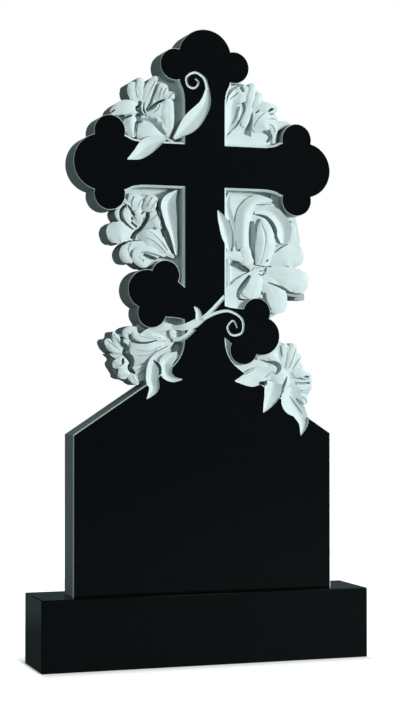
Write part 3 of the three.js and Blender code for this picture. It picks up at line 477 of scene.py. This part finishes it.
BOTTOM_RIGHT_LILY = {
    "ground": [[40, 700], [40, 625], [90, 598], [176, 555], [236, 522], [240, 560], [244, 612],
               [228, 640], [214, 672], [176, 680], [120, 672]],
    "beds": [
        bed(17, [[82, 622], [112, 644], [128, 656], [150, 664], [156, 690], [184, 682], [204, 676],
            [216, 650], [226, 624], [246, 618], [252, 602], [252, 584], [243, 568], [237, 548],
            [222, 532], [192, 560], [168, 580], [144, 600], [112, 610]]),
        bed(11, [[120, 652], [150, 664], [156, 690], [178, 684], [178, 650], [150, 640]]),
        bed(9, [[40, 698], [66, 684], [60, 662], [68, 646], [86, 636], [112, 642], [112, 612], [82, 614],
            [58, 628], [44, 652]]),
    ],
    "blades": [
        petal("upper left petal", [[122, 648], [150, 654], [177, 636]], [4, 9, 10, 8], [12, 8, 9], 3),
        petal("left filling petal", [[82, 622], [112, 633], [148, 627]], [3, 9, 12, 8], [13, 11, 11], 2),
        petal("left of crown", [[178, 612], [182, 645], [186, 680]], [10, 11, 12, 10], [11, 8, 9], 4),
        petal("middle of crown", [[190, 614], [199, 646], [207, 680]], [10, 11, 12, 10], [11, 7, 9], 4),
        petal("right of crown", [[198, 618], [211, 640], [220, 658]], [8, 11, 12, 9], [13, 10, 12], 3),
        petal("back petal", [[202, 640], [216, 632], [232, 626]], [10, 12, 9, 4], [16, 14, 16], 2),
        petal("heart", [[142, 620], [173, 610], [184, 578]], [12, 21, 21, 12], [10, 6, 9], 4),
        petal("upper mouth petal", [[196, 613], [222, 615], [247, 607]], [10, 9, 9, 6], [12, 8, 11], 2),
        petal("middle mouth petal", [[194, 592], [222, 589], [250, 588]], [10, 10, 10, 8], [12, 8, 11],
              2),
        petal("lower mouth petal", [[188, 576], [215, 566], [240, 552]], [11, 12, 11, 7], [12, 8, 11], 3),
        petal("lower petal", [[188, 580], [205, 556], [225, 536]], [14, 16, 14, 9], [10, 8, 11], 3),
        sunk("left leaf", [[152, 614], [129, 613], [105, 604], [68, 598.5]], [12, 17, 18, 1],
             [9, 9, 7, 1.5], -5),
        sunk("middle leaf", [[160, 596], [151, 564], [133, 531]], [17, 20, 12, 1], [10, 11, 1.5], -9),
        sunk("right leaf", [[200, 580], [201, 553], [217, 531], [226, 509], [220, 481]],
             [20, 26, 17, 12, 1], [9, 9, 10, 9, 1.5], -8),
    ],
    "slots": [
        slot("cleft under the upper left petal", [[142, 641], [162, 638], [173, 628], [165, 613]],
             [1.5, 4.5, 5.5, 2], 30),
        slot("cleft between the leaves", [[124, 595], [143, 593]], [2.5, 4.5, 2], 18),
        slot("slit of the heart", [[191, 609], [184, 590], [177, 573]], [1, 3.4, 3], 28),
        slot("upper mouth", [[230, 608], [243, 608]], [1.5, 3, 2], 19),
        slot("middle mouth", [[212, 595], [230, 594], [246, 595]], [1, 2.8, 2.2], 20),
        slot("lower mouth", [[218, 576], [234, 574], [246, 573]], [1, 2.2, 1.6], 19),
    ],
    "lines": [
        line("edge of the left leaf", [[92, 613], [104, 619], [114, 626]], [0.5, 0.9, 0.5], 14),
        line("left of the crown", [[176, 676], [178, 662], [180, 650]], [1.5, 2.2, 0.8], 18),
        crease("first crown fold", [[186, 626], [190, 650], [193, 676]], [0.8, 2, 1.2], [13, 11, 12]),
        crease("second crown fold", [[196, 626], [205, 648], [213, 670]], [0.8, 2, 1.2], [13, 11, 13]),
        crease("third crown fold", [[206, 624], [214, 638], [224, 650]], [0.8, 1.6, 0.8], [15, 14, 15]),
        crease("slit of the lower petal", [[211, 561], [222, 550], [229, 542]], [1.5, 4, 2], [17, 17]),
        crease("mouth fold", [[202, 617], [208, 608], [212, 604]], [0.8, 1.8, 0.8], [13, 13]),
        crease("second mouth fold", [[200, 602], [208, 600], [214, 590]], [0.8, 1.8, 0.8], [13, 13]),
        crease("heart fold", [[140, 606], [156, 618], [164, 612]], [0.8, 1.8, 0.8], [13, 11, 12]),
        crease("lower petal fold", [[196, 566], [212, 546], [226, 528]], [0.8, 2, 0.8], [13, 13, 14]),
        crease("lower mouth fold", [[224, 566], [234, 560], [238, 552]], [0.8, 1.6, 0.8], [14, 14]),
    ],
}
LILIES = [UPPER_LEFT_LILY, UPPER_RIGHT_LILY, LOWER_LEFT_LILY, LOWER_RIGHT_LILY, BOTTOM_LEFT_LILY,
          BOTTOM_RIGHT_LILY]


class Shade:
    """One value of a material's nodes, worked with by Python's own operators."""

    def __init__(self, tree, socket=None):
        self.tree = tree
        self.socket = socket

    def node(self, kind, settings=None, inputs=None, output=0):
        """A further node: its settings are set first, then its sockets are filled or linked."""
        made = self.tree.nodes.new(kind)
        for name, value in (settings or {}).items():
            setattr(made, name, value)
        for name, value in (inputs or {}).items():
            if isinstance(value, Shade):
                self.tree.links.new(value.socket, made.inputs[name])
            else:
                made.inputs[name].default_value = value
        return Shade(self.tree, made.outputs[output])

    def maths(self, operation, first, second):
        return self.node("ShaderNodeMath", {"operation": operation}, {0: first, 1: second})

    def __add__(self, other):
        return self.maths("ADD", self, other)

    __radd__ = __add__

    def __sub__(self, other):
        return self.maths("SUBTRACT", self, other)

    def __rsub__(self, other):
        return self.maths("SUBTRACT", other, self)

    def __mul__(self, other):
        return self.maths("MULTIPLY", self, other)

    __rmul__ = __mul__


def new_material(name):
    """An empty material with its shader and the object's own coordinates."""
    material = bpy.data.materials.new(name)
    material.use_nodes = True
    tree = material.node_tree
    shader = tree.nodes["Principled BSDF"]
    place = Shade(tree).node("ShaderNodeTexCoord", output="Object")
    return material, shader, place


def link(shade, socket):
    shade.tree.links.new(shade.socket, socket)


def noise(place, scale, detail=3.0, roughness=0.55):
    return place.node("ShaderNodeTexNoise", {}, {"Vector": place, "Scale": scale, "Detail": detail,
                                                "Roughness": roughness})


def part_of(vector, axis):
    return vector.node("ShaderNodeSeparateXYZ", inputs={"Vector": vector}, output=axis)


def vector_maths(vector, operation, other=(0.0, 0.0, 0.0)):
    return vector.node("ShaderNodeVectorMath", {"operation": operation}, {0: vector, 1: other}, "Vector")


def eased(value, start, end):
    """A value's way from 0 at start to 1 at end, eased at both."""
    return value.node("ShaderNodeMapRange", {"interpolation_type": "SMOOTHSTEP"},
                      {"Value": value, "From Min": start, "From Max": end})


def blend_colours(factor, first, second):
    """A colour that goes from the first, at a factor of 0, to the second, at 1."""
    first, second = [c if isinstance(c, Shade) else (*c, 1.0) for c in (first, second)]
    return factor.node("ShaderNodeMix", {"data_type": "RGBA"}, {"Factor": factor, 6: first, 7: second}, 2)


def polished_black():
    """Mirror-polished black gabbro: a fine dark crystal grain under the polish."""
    material, shader, place = new_material("polished_black_stone")
    crystals = place.node("ShaderNodeTexVoronoi", {}, {"Vector": place, "Scale": 520.0}, output="Color")
    grain = crystals.node("ShaderNodeSeparateColor", {}, {"Color": crystals})
    cloud = noise(place, 26.0)
    link(blend_colours(grain * 0.7 + cloud * 0.3, (0.0007, 0.0009, 0.0010), (0.0024, 0.0031, 0.0032)),
         shader.inputs["Base Color"])
    link(0.05 + 0.05 * noise(place, 9.0), shader.inputs["Roughness"])
    shader.inputs["IOR"].default_value = 1.2
    return material


def ground_arris():
    """The narrow chamfer along the polished edges: ground, not polished, so it shows pale."""
    material, shader, place = new_material("ground_arris")
    grain = noise(place, 900.0)
    link(blend_colours(grain, (0.52, 0.60, 0.60), (0.72, 0.80, 0.80)), shader.inputs["Base Color"])
    link(0.45 + 0.2 * grain, shader.inputs["Roughness"])
    return material


def sawn_side():
    """The sides through the slab: honed dark stone with faint marks of the saw."""
    material, shader, place = new_material("sawn_side")
    grain = noise(place, 420.0)
    marks = place.node("ShaderNodeTexWave", {"bands_direction": "Y"},
                       {"Vector": place, "Scale": 55.0, "Distortion": 3.0, "Detail": 2.0}, output=1)
    tone = grain * 0.75 + marks * 0.25
    link(blend_colours(tone, (0.24, 0.28, 0.28), (0.39, 0.445, 0.445)), shader.inputs["Base Color"])
    link(0.38 + 0.2 * grain, shader.inputs["Roughness"])
    bump = tone.node("ShaderNodeBump", {}, {"Strength": 0.25, "Distance": 0.0004, "Height": tone})
    link(bump, shader.inputs["Normal"])
    return material


def carved_pale():
    """Worked relief: the stone shows pale where the tool has crushed its crystals."""
    material, shader, place = new_material("carved_pale_stone")
    pecks = noise(place, 1100.0, 2.0)
    cloud = noise(place, 34.0, 4.0)
    tone = pecks * 0.45 + cloud * 0.55
    link(blend_colours(tone, (0.50, 0.585, 0.585), (0.74, 0.83, 0.83)), shader.inputs["Base Color"])
    link(0.62 + 0.25 * pecks, shader.inputs["Roughness"])
    bump = tone.node("ShaderNodeBump", {}, {"Strength": 0.35, "Distance": 0.0005, "Height": pecks})
    link(bump, shader.inputs["Normal"])
    return material


def cleft_stone_painted_shade():
    """The deep clefts between petals, coloured as painted shade, darkest in the two lower left lilies."""
    material, shader, place = new_material("cleft_stone_painted_shade")
    grain = noise(place, 500.0)
    # Painted shade: clefts low on the left are coloured darker still.
    painted_shade_share = eased(part_of(place, "X"), 0.02, -0.03) * eased(part_of(place, "Z"), 1.06, 1.03)
    # Both tones are painted shade: the clefts are coloured darker than the carved relief around them.
    pale = blend_colours(grain, (0.44, 0.53, 0.53), (0.60, 0.70, 0.70))
    dark = blend_colours(grain, (0.25, 0.31, 0.31), (0.34, 0.41, 0.41))
    link(blend_colours(painted_shade_share, pale, dark), shader.inputs["Base Color"])
    shader.inputs["Roughness"].default_value = 0.8
    return material


STONE = [polished_black(), ground_arris(), sawn_side(), carved_pale(), cleft_stone_painted_shade()]
POLISHED, ARRIS_FACE, SAWN, CARVED, CLEFT = range(len(STONE))


def along(values, t):
    """A smooth value between the given numbers or vectors, at t from 0 to 1."""
    place = t * (len(values) - 1)
    i = min(int(place), len(values) - 2)
    w = place - i
    before, first = values[max(i - 1, 0)], values[i]
    second, after = values[i + 1], values[min(i + 2, len(values) - 1)]
    leave = (second - before) * 0.5
    arrive = (after - first) * 0.5
    cubic = (first - second) * 2 + leave + arrive
    square = (second - first) * 3 - leave * 2 - arrive
    return cubic * w ** 3 + square * w ** 2 + leave * w + first


def new_object(name, bm):
    """An object at the origin, with the stone's finishes in its slots."""
    bmesh.ops.recalc_face_normals(bm, faces=bm.faces[:])
    mesh = bpy.data.meshes.new(name)
    bm.to_mesh(mesh)
    bm.free()
    for material in STONE:
        mesh.materials.append(material)
    made = bpy.data.objects.new(name, mesh)
    bpy.context.scene.collection.objects.link(made)
    return made


def ease(bm, edges, width):
    """A flat arris ground along some edges."""
    bmesh.ops.bevel(bm, geom=edges, offset=width * MM, offset_type="OFFSET", affect="EDGES", segments=1,
                    profile=0.5, material=-1)


def extruded(outline, front_y, arris, name, side):
    """An outline of x, z points in millimetres, as a slab from front_y past the back of the stone."""
    bm = bmesh.new()
    corners = [bm.verts.new((x * MM, front_y, z * MM)) for x, z in outline]
    face = bm.faces.new(corners)
    made = bmesh.ops.extrude_face_region(bm, geom=[face])["geom"]
    for vert in made:
        if isinstance(vert, bmesh.types.BMVert):
            vert.co.y = BACK_Y + OVERRUN
    bmesh.ops.recalc_face_normals(bm, faces=bm.faces[:])
    if arris:
        rim = [edge for edge in bm.edges if all(abs(v.co.y - front_y) < 1e-6 for v in edge.verts)]
        ease(bm, rim, arris)
    bm.normal_update()
    for face in bm.faces:
        facing = abs(face.normal.y)
        front = POLISHED if arris else CARVED
        face.material_index = front if facing > 0.95 else ARRIS_FACE if facing > 0.3 else side
    return new_object(name, bm)


def slab(outline, arris, name, side):
    return extruded(outline, FACE_Y, arris, name, side)


def disc(centre, radius, name):
    steps = [2 * math.pi * i / LOBE_SIDES for i in range(LOBE_SIDES)]
    rim = [(centre.x + radius * math.cos(a), centre.y + radius * math.sin(a)) for a in steps]
    return slab(rim, EDGE_ARRIS, name, SAWN)


def arm(profile, centre, angle, name):
    """One arm from the middle of the cross to its trefoil end, as overlapping slabs."""
    out = Vector((math.cos(angle), math.sin(angle)))
    up = Vector((-out.y, out.x))

    def place(distance, across):
        return centre + out * distance + up * across

    neck = [Vector(point) for point in profile["neck"]]
    edge = [along(neck, i / (CURVE_STEPS * 2)) for i in range(CURVE_STEPS * 2 + 1)]
    upper = [place(point.x, point.y) for point in edge]
    lower = [place(point.x, -point.y) for point in reversed(edge)]
    side = profile["side_lobe"]
    lobes = [disc(place(profile["tip"] - profile["lobe"], 0), profile["lobe"], name + " lobe")]
    for hand in (1, -1):
        middle = place(profile["tip"] - side["back"], hand * side["out"])
        lobes.append(disc(middle, side["radius"], name + " side lobe"))
    return [slab(lower + upper, profile["arris"], name + " neck", CARVED), *lobes]


def bezier(a, b, c, d):
    """Points of a cubic curve, without its first."""
    steps = [(i + 1) / CURVE_STEPS for i in range(CURVE_STEPS)]
    return [(1 - t) ** 3 * a + 3 * (1 - t) ** 2 * t * b + 3 * (1 - t) * t * t * c + t ** 3 * d
            for t in steps]


def panel():
    """The gabled field below the cross, its gable swept up into the post."""
    half = HALF_WIDTH / MM
    base = STELE_LOW.z / MM - OVERRUN / MM
    fillet_z = SHOULDER_Z + GABLE_SLOPE * (half - GABLE_END_X)
    reach = 0.6 * (GABLE_END_X - PANEL_NECK_HALF)
    fillet = bezier(Vector((GABLE_END_X, fillet_z)),
                    Vector((GABLE_END_X - reach, fillet_z + reach * GABLE_SLOPE)),
                    Vector((PANEL_NECK_HALF, (fillet_z + FILLET_TOP_Z) / 2)),
                    Vector((PANEL_NECK_HALF, FILLET_TOP_Z)))
    right = [Vector((half, base)), Vector((half, SHOULDER_Z)), Vector((GABLE_END_X, fillet_z)), *fillet]
    left = [Vector((-point.x, point.y)) for point in reversed(right)]
    return slab(right + left, GABLE_ARRIS, "panel", SAWN)


def blade_surface(spec, index):
    """The function from a place along and across a blade to a point x, z and a depth, in millimetres."""
    spine = [Vector(point) for point in spec["spine"]]
    widest = max(spec["half"])
    phase = RUFFLE_PHASE * index
    is_petal = spec["kind"] == "petal"

    def surface(t, side):
        step = 1e-3
        before, after = along(spine, max(t - step, 0)), along(spine, min(t + step, 1))
        tangent = (after - before).normalized()
        wave = math.sin(2 * math.pi * RUFFLE_WAVES * t + phase + 0.8 * side) * t if is_petal else 0.0
        frill = math.sin(2 * math.pi * FRILL_WAVES * t + phase + 2 * side) * t if is_petal else 0.0
        reach = along(spec["half"], t) * (1 + RUFFLE_OUTLINE * wave + FRILL_OUTLINE * frill)
        if is_petal:
            end = max(0.0, (t - ROUND_FROM) / (1 - ROUND_FROM))
            reach *= math.sqrt(1 - ROUND_OFF * end * end)
        point = along(spine, t) + Vector((-tangent.y, tangent.x)) * reach * side
        is_keeled = spec["cup"] < 0 or spec["cup"] >= KEELED_FROM
        fall = math.sqrt(side * side + KEEL_ROUNDING) if is_keeled else side * side
        depth = along(spec["depth"], t) + spec["cup"] * reach / widest * fall
        if is_petal and spec["cup"] > 0:
            depth += MIDRIB * math.exp(-(side / MIDRIB_WIDTH) ** 2) * math.sin(math.pi * t)
            depth += RUFFLE * wave * side * side
        return point, max(depth, SHALLOWEST)

    return surface


def blade_solid(spec, index, is_cutter):
    """A blade from its surface to the back of the stone, or the stone that is cut away over it."""
    surface = blade_surface(spec, index)
    spine = [Vector(point) for point in spec["spine"]]
    length = sum((b - a).length for a, b in zip(spine, spine[1:]))
    strips = BLADE_STRIPS if spec["kind"] in ("petal", "sunk") else TENDRIL_STRIPS
    bm = bmesh.new()
    bmesh.ops.create_grid(bm, x_segments=max(8, round(length / BLADE_PITCH)), y_segments=strips, size=1.0)
    made = bmesh.ops.extrude_face_region(bm, geom=bm.faces[:])["geom"]
    far = {item for item in made if isinstance(item, bmesh.types.BMVert)}
    far_y = FACE_Y - OVERRUN if is_cutter else BACK_Y + OVERRUN
    # Painted shade: slots take the dark cleft stone, backing steps the dark sawn finish, even on their
    # fronts.
    finish_and_painted_shade = {"slot": CLEFT, "backing": SAWN}.get(spec["kind"], CARVED)
    for face in bm.faces:
        is_surface = is_cutter or all(v not in far for v in face.verts)
        face.material_index = finish_and_painted_shade if is_surface else SAWN
    for vert in bm.verts:
        point, depth = surface((vert.co.x + 1) / 2, vert.co.y)
        vert.co = (point.x * MM, far_y if vert in far else FACE_Y + depth * MM, point.y * MM)
    return new_object(spec["name"], bm)


def carved(base, steps):
    """The stone after each joining or cutting step, as one closed mesh."""
    for operation, tool in steps:
        change = base.modifiers.new(operation, "BOOLEAN")
        change.operation = operation
        change.solver = "MANIFOLD"
        change.material_mode = "TRANSFER"
        change.object = tool
    view = bpy.context.evaluated_depsgraph_get()
    mesh = bpy.data.meshes.new_from_object(base.evaluated_get(view))
    for _, tool in steps:
        bpy.data.objects.remove(tool)
    base.modifiers.clear()
    base.data = mesh
    return base


def stele():
    """The cross, its panel and its lilies, all of one slab."""
    crossing = Vector((0.0, CROSSING_Z))
    bar_centre = Vector((0.0, BAR_CENTRE_Z))
    post_top = CROSSING_Z + POST_HALF
    post = [(-POST_HALF, POST_FOOT_Z), (POST_HALF, POST_FOOT_Z), (POST_HALF, post_top),
            (-POST_HALF, post_top)]
    slabs = [slab(post, CORNER_ARRIS, "post", CARVED)]
    slabs += arm(ARM, crossing, 0, "right arm") + arm(ARM, crossing, math.pi, "left arm")
    slabs += arm(TOP_ARM, crossing, math.pi / 2, "top arm")
    slabs += arm(BAR, bar_centre, BAR_ANGLE, "bar right")
    slabs += arm(BAR, bar_centre, BAR_ANGLE + math.pi, "bar left")
    blades = [spec for lily in LILIES for spec in lily["blades"]]
    steps = [("UNION", piece) for piece in slabs]
    steps += [("DIFFERENCE", blade_solid(spec, i, True)) for i, spec in enumerate(blades)
              if spec["kind"] in ("sunk", "tendril")]
    grounds = [bed(GROUND_DEPTH, lily["ground"]) for lily in LILIES]
    steps += [("UNION", extruded(step["outline"], FACE_Y + step["depth"] * MM, 0, "ground", SAWN))
              for step in grounds + [step for lily in LILIES for step in lily["beds"]]]
    steps += [("UNION", blade_solid(spec, i, False)) for i, spec in enumerate(blades)]
    steps += [("DIFFERENCE", blade_solid(spec, 0, True)) for lily in LILIES
              for spec in lily["slots"] + lily["lines"]]
    steps += [("UNION", blade_solid(spec, 0, False)) for spec in UPPER_LEFT_LILY["stamens"]]
    steps.append(("INTERSECT", trim_block()))
    made = carved(panel(), steps)
    made.name = "stele_carved"
    return made


def trim_block():
    """The block that the finished stone fills: it trims the back and the bed flat."""
    bm = bmesh.new()
    bmesh.ops.create_cube(bm, size=1.0)
    low = Vector((-2 * HALF_WIDTH, FACE_Y - OVERRUN, STELE_LOW.z))
    high = Vector((2 * HALF_WIDTH, BACK_Y, STELE_HIGH.z + OVERRUN))
    for vert in bm.verts:
        vert.co = [lo if c < 0 else hi for c, lo, hi in zip(vert.co, low, high)]
    for face in bm.faces:
        face.material_index = SAWN
    return new_object("trim", bm)


def plinth():
    """The plain block under the stele, polished all round, its arrises eased."""
    bm = bmesh.new()
    bmesh.ops.create_cube(bm, size=1.0)
    for vert in bm.verts:
        vert.co = [lo if c < 0 else hi for c, lo, hi in zip(vert.co, PLINTH_LOW, PLINTH_HIGH)]
    ease(bm, bm.edges[:], PLINTH_ARRIS)
    return new_object("plinth_polished", bm)


def finish_piece(piece, node):
    """Smooth where the surface runs on, crisp at its arrises, and tied to the frame."""
    piece.data.polygons.foreach_set("use_smooth", [True] * len(piece.data.polygons))
    piece.data.set_sharp_from_angle(angle=SMOOTH_ANGLE)
    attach(piece, "root")
    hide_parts(node)


def camera():
    data = bpy.data.cameras.new("camera")
    data.lens = CAMERA_LENS
    made = bpy.data.objects.new("camera", data)
    made.location = CAMERA_PLACE
    made.rotation_mode = "QUATERNION"
    made.rotation_quaternion = (CAMERA_AIM - CAMERA_PLACE).to_track_quat("-Z", "Y")
    bpy.context.scene.collection.objects.link(made)
    bpy.context.scene.camera = made


def soft_box(name, place, size, power):
    """A square studio light, turned to the middle of the stone."""
    data = bpy.data.lights.new(name, "AREA")
    data.size = size
    data.energy = power
    made = bpy.data.objects.new(name, data)
    made.location = place
    made.rotation_mode = "QUATERNION"
    made.rotation_quaternion = (LIT_POINT - place).to_track_quat("-Z", "Y")
    bpy.context.scene.collection.objects.link(made)


def room():
    """A white sweep to the eye, and a dim room, brighter to the right, for light and mirrored rays."""
    world = bpy.data.worlds.new("studio")
    world.use_nodes = True
    tree = world.node_tree
    background = tree.nodes["Background"]
    direction = Shade(tree).node("ShaderNodeTexCoord", output="Object")
    sideways, backward, upward = [part_of(direction, axis) for axis in "XYZ"]
    # A direction is one long, so its parts and their bounds here are sines of angles
    to_right = eased(sideways, -0.2, 0.7)
    walls = blend_colours(to_right, ROOM_LEFT, ROOM_RIGHT)
    is_seen = direction.node("ShaderNodeLightPath", output="Is Camera Ray")
    link(blend_colours(is_seen, walls, WHITE), background.inputs["Color"])
    low_glow = eased(upward, -0.03, -0.12) * eased(upward, -0.25, -0.14) * to_right
    # In the polish, the room behind is brighter just below the eye, and dimmer lower down and above
    is_mirrored = direction.node("ShaderNodeLightPath", output="Is Glossy Ray")
    behind = is_mirrored * eased(backward, 0.3, 0.8)
    change = 0.25 - 0.68 * eased(upward, -0.128, -0.142) - 0.95 * eased(upward, -0.06, 0.02)
    link((low_glow + 1.0) * (1.0 + behind * change), background.inputs["Strength"])
    bpy.context.scene.world = world


def floor_finish():
    """A plain white floor, with a soft shade painted round the plinth's foot."""
    material, shader, place = new_material("pale_floor")
    link(blend_colours(noise(place, 40.0), (0.86, 0.86, 0.86), (0.90, 0.90, 0.90)),
         shader.inputs["Base Color"])
    shader.inputs["Roughness"].default_value = 0.6
    away = vector_maths(place, "ABSOLUTE")
    away = vector_maths(away, "SUBTRACT", PLINTH_HIGH)
    away = vector_maths(away, "MAXIMUM", (0.0, 0.0, 0.0))
    away = vector_maths(away, "MULTIPLY", FOOT_SHADE_FADE)
    gap = away.node("ShaderNodeVectorMath", {"operation": "LENGTH"}, {0: away}, "Value")
    shade = gap.maths("MAXIMUM", 1.0 - gap, 0.0)
    link(blend_colours(shade * shade, WHITE, FOOT_SHADE), shader.inputs["Emission Color"])
    shader.inputs["Emission Strength"].default_value = FLOOR_GLOW
    return material


def studio():
    """The soft boxes, the room and the floor."""
    bpy.context.scene.view_settings.view_transform = "Standard"
    room()
    for name, (place, size, power) in SOFT_BOXES.items():
        soft_box(name, place, size, power)
    bm = bmesh.new()
    bmesh.ops.create_circle(bm, cap_ends=True, segments=FLOOR_SIDES, radius=FLOOR_RADIUS)
    mesh = bpy.data.meshes.new("floor")
    bm.to_mesh(mesh)
    bm.free()
    mesh.materials.append(floor_finish())
    floor = bpy.data.objects.new("floor", mesh)
    bpy.context.scene.collection.objects.link(floor)
    floor.visible_glossy = False
    floor.visible_diffuse = False


camera()
studio()
finish_piece(stele(), "stele")
finish_piece(plinth(), "plinth")
